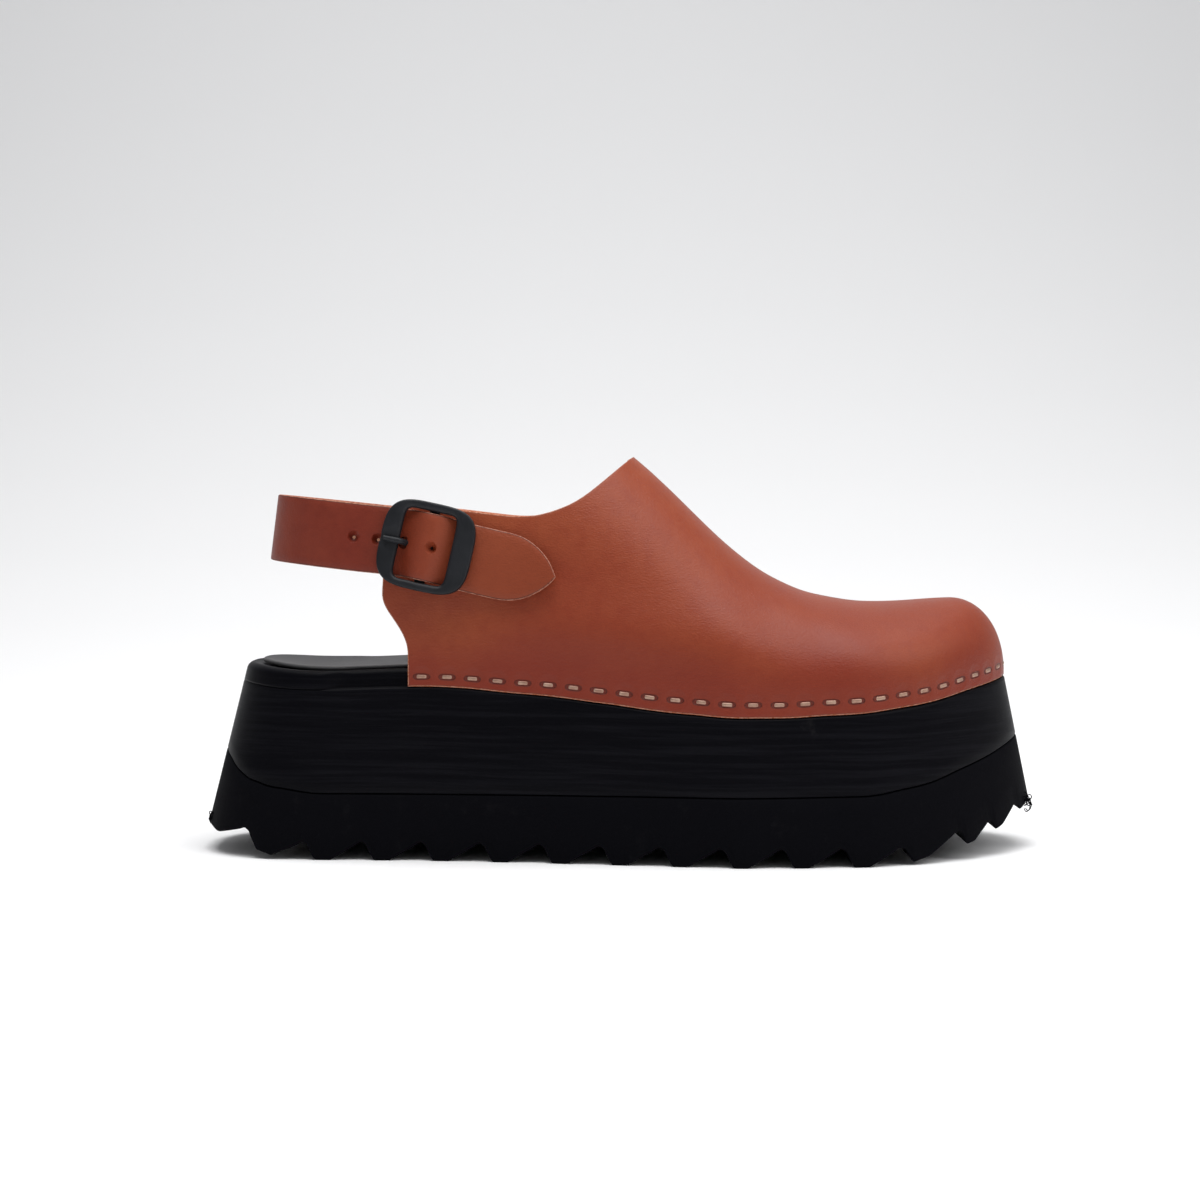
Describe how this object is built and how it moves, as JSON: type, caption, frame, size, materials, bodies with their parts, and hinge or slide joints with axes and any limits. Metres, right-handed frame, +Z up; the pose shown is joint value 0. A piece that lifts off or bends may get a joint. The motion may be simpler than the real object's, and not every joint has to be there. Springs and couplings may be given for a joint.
{
  "type": "clog",
  "caption": "Closed-toe slingback clog with a leather upper, thick black wooden platform, saw-tooth rubber sole and buckled heel strap.",
  "frame": {"origin": "on the floor under the middle of the shoe's box", "axes": "+X to the toe, +Y to the inner side of the foot, +Z up"},
  "size_m": [0.2804, 0.1032, 0.1325],
  "materials": {
    "outsole_rubber": "matte black rubber",
    "platform_wood": "satin black paint over wood",
    "insole_cover": "smooth matte black",
    "upper_leather": "semi-gloss oiled leather, reddish brown",
    "strap_leather": "semi-gloss oiled leather, dark red brown",
    "buckle_metal": "matte black enamel"
  },
  "bodies": {
    "root": {"outsole": "outsole_rubber", "platform": "platform_wood", "insole": "insole_cover", "upper": "upper_leather", "heel_strap": "strap_leather", "buckle_frame": "buckle_metal", "buckle_prong": "buckle_metal"}
  },
  "joints": []
}
